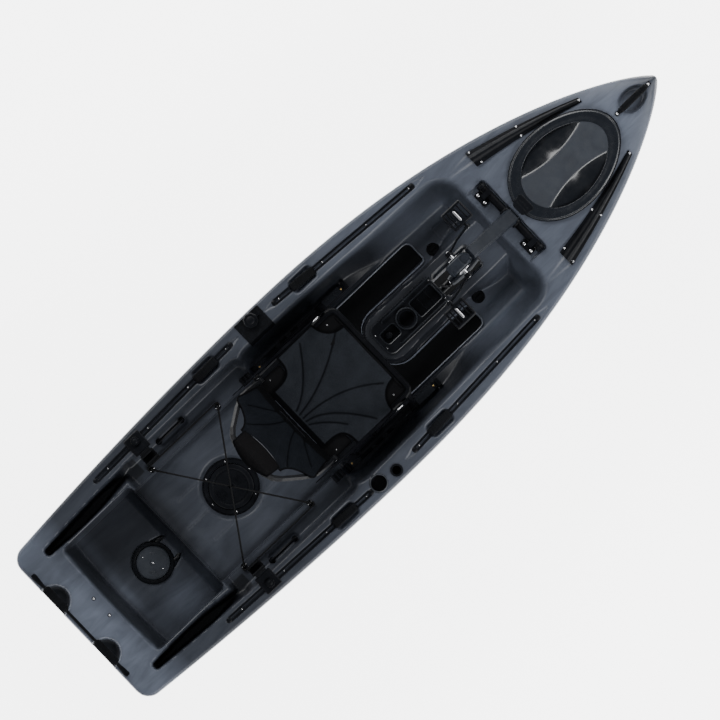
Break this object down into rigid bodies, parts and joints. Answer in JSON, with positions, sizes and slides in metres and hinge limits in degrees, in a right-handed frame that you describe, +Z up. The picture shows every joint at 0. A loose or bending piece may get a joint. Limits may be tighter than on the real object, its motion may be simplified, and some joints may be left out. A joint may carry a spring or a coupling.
{
  "type": "pedal-drive fishing kayak",
  "caption": "Sit-on-top fishing kayak with a tilting pedal drive and propeller, sliding mesh seat, gear tracks, hatches, tank well and paddle holders.",
  "frame": {"origin": "on the flat of the keel, half way along the hull and on its centre plane", "axes": "+X towards the bow, +Y to port, +Z up"},
  "size_m": [3.1996, 0.9208, 1.1044],
  "materials": {
    "hull_polyethylene": "rotomoulded, grey and black swirl, satin",
    "black_plastic": "moulded, fine grain",
    "hatch_plastic": "satin",
    "drive_casing": "satin, moulded",
    "rubber": "matte",
    "eva_foam": "matte foam, fine texture",
    "seat_mesh": "woven mesh",
    "webbing": "woven webbing",
    "bungee": "braided",
    "black_aluminium": "black anodised, satin",
    "bright_steel": "polished stainless"
  },
  "bodies": {
    "hull": {"hull": "hull_polyethylene", "gear_track_rear_port": "black_plastic", "gear_track_rear_starboard": "black_plastic", "gear_track_front_port": "black_plastic", "gear_track_front_starboard": "black_plastic", "side_handle_rear_port": "rubber", "side_handle_rear_starboard": "rubber", "side_handle_front_port": "rubber", "side_handle_front_starboard": "rubber", "bow_handle": "rubber", "stern_handle": "rubber", "rod_tip_cover_port": "black_plastic", "rod_tip_cover_starboard": "black_plastic", "bow_hatch_rim": "black_plastic", "rear_hatch_ring": "black_plastic", "floor_pad": "eva_foam", "console_tray": "black_plastic", "mount_plate": "black_plastic", "rod_holder": "black_plastic", "pad_eye_rear_port": "black_plastic", "pad_eye_rear_starboard": "black_plastic", "pad_eye_front_port": "black_plastic", "pad_eye_front_starboard": "black_plastic", "bungee_cord": "bungee", "seat_rail_port": "black_plastic", "seat_rail_starboard": "black_plastic", "pivot_clamp_port": "black_plastic", "pivot_clamp_starboard": "black_plastic"},
    "bow_hatch": {"bow_hatch_lid": "hatch_plastic"},
    "rear_hatch": {"rear_hatch_lid": "hatch_plastic"},
    "stern_plate": {"stern_cap": "hatch_plastic"},
    "plug_port": {"scupper_plug_port": "rubber"},
    "plug_starboard": {"scupper_plug_starboard": "rubber"},
    "knob": {"mount_knob": "black_plastic"},
    "paddle_holder_port": {"paddle_bracket_port": "black_plastic", "paddle_clip_port": "rubber"},
    "paddle_holder_starboard": {"paddle_bracket_starboard": "black_plastic", "paddle_clip_starboard": "rubber"},
    "seat": {"seat_frame": "black_aluminium", "seat_sling": "seat_mesh", "seat_strap_port": "webbing", "seat_strap_starboard": "webbing"},
    "backrest": {"backrest_frame": "black_aluminium", "backrest_sling": "seat_mesh"},
    "drive": {"drive_crossbar": "black_aluminium", "drive_arm": "drive_casing", "drive_housing": "drive_casing", "side_cover_port": "bright_steel", "side_cover_starboard": "bright_steel", "drive_column": "drive_casing", "lower_unit": "drive_casing"},
    "crankset": {"crank_axle": "bright_steel", "crank_port": "black_plastic", "crank_starboard": "black_plastic"},
    "pedal_port": {"pedal_port": "black_plastic"},
    "pedal_starboard": {"pedal_starboard": "black_plastic"},
    "upright_shaft": {"vertical_shaft": "bright_steel"},
    "prop": {"prop_shaft": "bright_steel", "propeller": "black_plastic"}
  },
  "joints": [
    {"name": "bow_hatch_hinge", "type": "hinge", "parent": "hull", "child": "bow_hatch", "pos_m": [1.343, 0, 0.418], "axis": [0, 1, 0], "range_deg": [0, 100]},
    {"name": "rear_hatch_turn", "type": "hinge", "parent": "hull", "child": "rear_hatch", "pos_m": [-0.7624, 0, 0.215], "axis": [0, 0, 1], "range_deg": [0, 90]},
    {"name": "stern_cap_turn", "type": "hinge", "parent": "hull", "child": "stern_plate", "pos_m": [-1.203, 0, 0.13], "axis": [0, 0, 1], "range_deg": [0, 90]},
    {"name": "scupper_plug_port_lift", "type": "slide", "parent": "hull", "child": "plug_port", "axis": [0, 0, 1], "range_m": [0, 0.045]},
    {"name": "scupper_plug_starboard_lift", "type": "slide", "parent": "hull", "child": "plug_starboard", "axis": [0, 0, 1], "range_m": [0, 0.045]},
    {"name": "mount_knob_turn", "type": "hinge", "parent": "hull", "child": "knob", "pos_m": [-0.2438, 0.4216, 0.3515], "axis": [0, 0, 1], "continuous": true},
    {"name": "paddle_holder_port_slide", "type": "slide", "parent": "hull", "child": "paddle_holder_port", "axis": [0.9996, 0.0291, 0], "range_m": [-0.095, 0.28]},
    {"name": "paddle_holder_starboard_slide", "type": "slide", "parent": "hull", "child": "paddle_holder_starboard", "axis": [0.9996, -0.0291, 0], "range_m": [-0.095, 0.28]},
    {"name": "seat_slide", "type": "slide", "parent": "hull", "child": "seat", "axis": [1, 0, 0], "range_m": [-0.05, 0.09]},
    {"name": "backrest_fold", "type": "hinge", "parent": "seat", "child": "backrest", "pos_m": [-0.385, 0, 0.462], "axis": [0, 1, 0], "range_deg": [0, 110], "deforming": ["seat_strap_port", "seat_strap_starboard"]},
    {"name": "drive_tilt", "type": "hinge", "parent": "hull", "child": "drive", "pos_m": [0.7945, 0, 0.3455], "axis": [0, 1, 0], "range_deg": [0, 20]},
    {"name": "crank_spin", "type": "hinge", "parent": "drive", "child": "crankset", "pos_m": [0.51, 0, 0.5], "axis": [0, 1, 0], "continuous": true},
    {"name": "pedal_port_spin", "type": "hinge", "parent": "crankset", "child": "pedal_port", "pos_m": [0.64, 0.145, 0.5], "axis": [0, 1, 0], "continuous": true},
    {"name": "pedal_starboard_spin", "type": "hinge", "parent": "crankset", "child": "pedal_starboard", "pos_m": [0.38, -0.145, 0.5], "axis": [0, 1, 0], "continuous": true},
    {"name": "upright_shaft_spin", "type": "hinge", "parent": "drive", "child": "upright_shaft", "pos_m": [0.51, 0, 0.2], "axis": [0, 0, 1], "continuous": true},
    {"name": "prop_spin", "type": "hinge", "parent": "drive", "child": "prop", "pos_m": [0.42, 0, -0.15], "axis": [1, 0, 0], "continuous": true}
  ],
  "couplings": [
    {"joint": "upright_shaft_spin", "follows": "crank_spin", "ratio": 5},
    {"joint": "prop_spin", "follows": "crank_spin", "ratio": 10}
  ]
}
